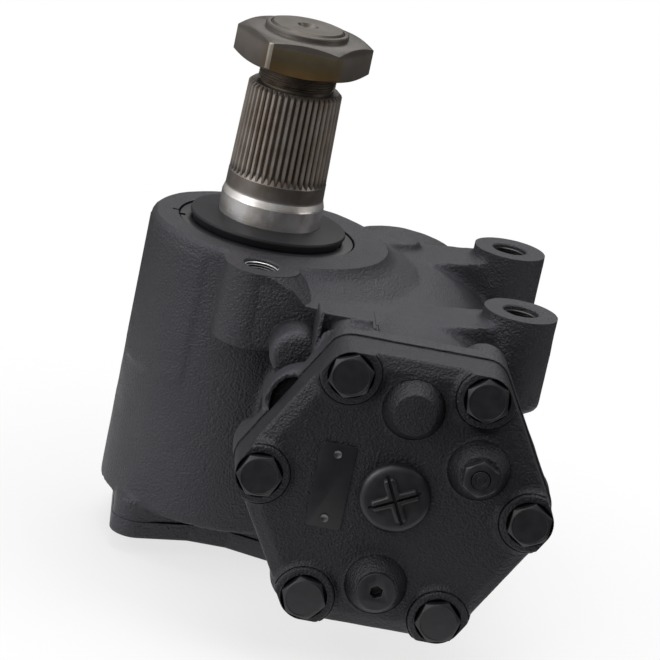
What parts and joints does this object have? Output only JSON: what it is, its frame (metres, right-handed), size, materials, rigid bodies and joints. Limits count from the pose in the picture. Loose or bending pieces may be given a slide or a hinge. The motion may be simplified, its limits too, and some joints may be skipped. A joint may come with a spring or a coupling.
{
  "type": "power steering gear",
  "caption": "Recirculating-ball truck power steering gear: cast housing with hexagonal end cover, splined sector shaft with large nut, rack piston, worm and rotary valve.",
  "frame": {"origin": "on the axis of the sector shaft, in the plane of the machined mounting faces", "axes": "+Z along the sector shaft towards its nut, +Y along the piston axis from the hexagonal cover towards the valve, +X from the sector shaft towards the piston axis"},
  "size_m": [0.2442, 0.4326, 0.3154],
  "materials": {
    "cast_housing": "satin black paint over sand-cast iron",
    "black_fasteners": "satin black paint over steel",
    "forged_steel": "oily machined forged steel",
    "machined_steel": "ground steel",
    "bearing_steel": "polished bearing steel",
    "ring_plastic": "filled plastic sliding ring",
    "seal_rubber": "matte black rubber"
  },
  "bodies": {
    "housing": {"housing": "cast_housing", "cylinder_cover": "cast_housing", "cover_bolts": "black_fasteners", "cover_seal": "seal_rubber", "centre_cap": "black_fasteners", "limiter_screw": "black_fasteners", "limiter_nut": "black_fasteners", "cover_plug": "black_fasteners", "bearing_carrier": "machined_steel", "upper_bearing": "bearing_steel", "lower_bearing": "bearing_steel", "dust_seal": "seal_rubber", "shaft_seal": "seal_rubber", "snap_ring": "machined_steel", "bottom_cover": "cast_housing", "bottom_cover_bolts": "black_fasteners", "bottom_cover_seal": "seal_rubber", "adjusting_screw": "black_fasteners", "adjusting_nut": "black_fasteners", "worm_bearing": "bearing_steel", "valve_housing": "cast_housing", "valve_housing_bolts": "black_fasteners", "valve_housing_seal": "seal_rubber", "input_bearing": "bearing_steel", "input_seal": "seal_rubber", "input_dust_cap": "seal_rubber"},
    "sector": {"sector_shaft": "forged_steel", "pitman_nut": "forged_steel", "adjusting_retainer": "machined_steel"},
    "piston": {"rack_piston": "machined_steel", "piston_ring": "ring_plastic", "ball_train": "bearing_steel", "ball_return_tube": "machined_steel"},
    "worm": {"worm": "machined_steel", "torsion_bar": "machined_steel", "torsion_pin": "machined_steel", "valve_sleeve": "machined_steel", "sleeve_rings": "ring_plastic"},
    "input": {"input_shaft": "machined_steel"}
  },
  "joints": [
    {"name": "sector_turn", "type": "hinge", "parent": "housing", "child": "sector", "pos_m": [0, 0, 0], "axis": [0, 0, 1], "range_deg": [-45, 45]},
    {"name": "piston_slide", "type": "slide", "parent": "housing", "child": "piston", "axis": [0, 1, 0], "range_m": [-0.034, 0.034]},
    {"name": "worm_turn", "type": "hinge", "parent": "housing", "child": "worm", "pos_m": [0.0872, 0, -0.0866], "axis": [0, 1, 0], "range_deg": [-905, 905]},
    {"name": "input_twist", "type": "hinge", "parent": "worm", "child": "input", "pos_m": [0.0872, 0.12, -0.0866], "axis": [0, 1, 0], "range_deg": [-4, 4], "stiffness_Nm_per_rad": 60}
  ],
  "couplings": [
    {"joint": "piston_slide", "follows": "sector_turn", "m_per_rad": 0.042972},
    {"joint": "worm_turn", "follows": "sector_turn", "ratio": -20}
  ]
}
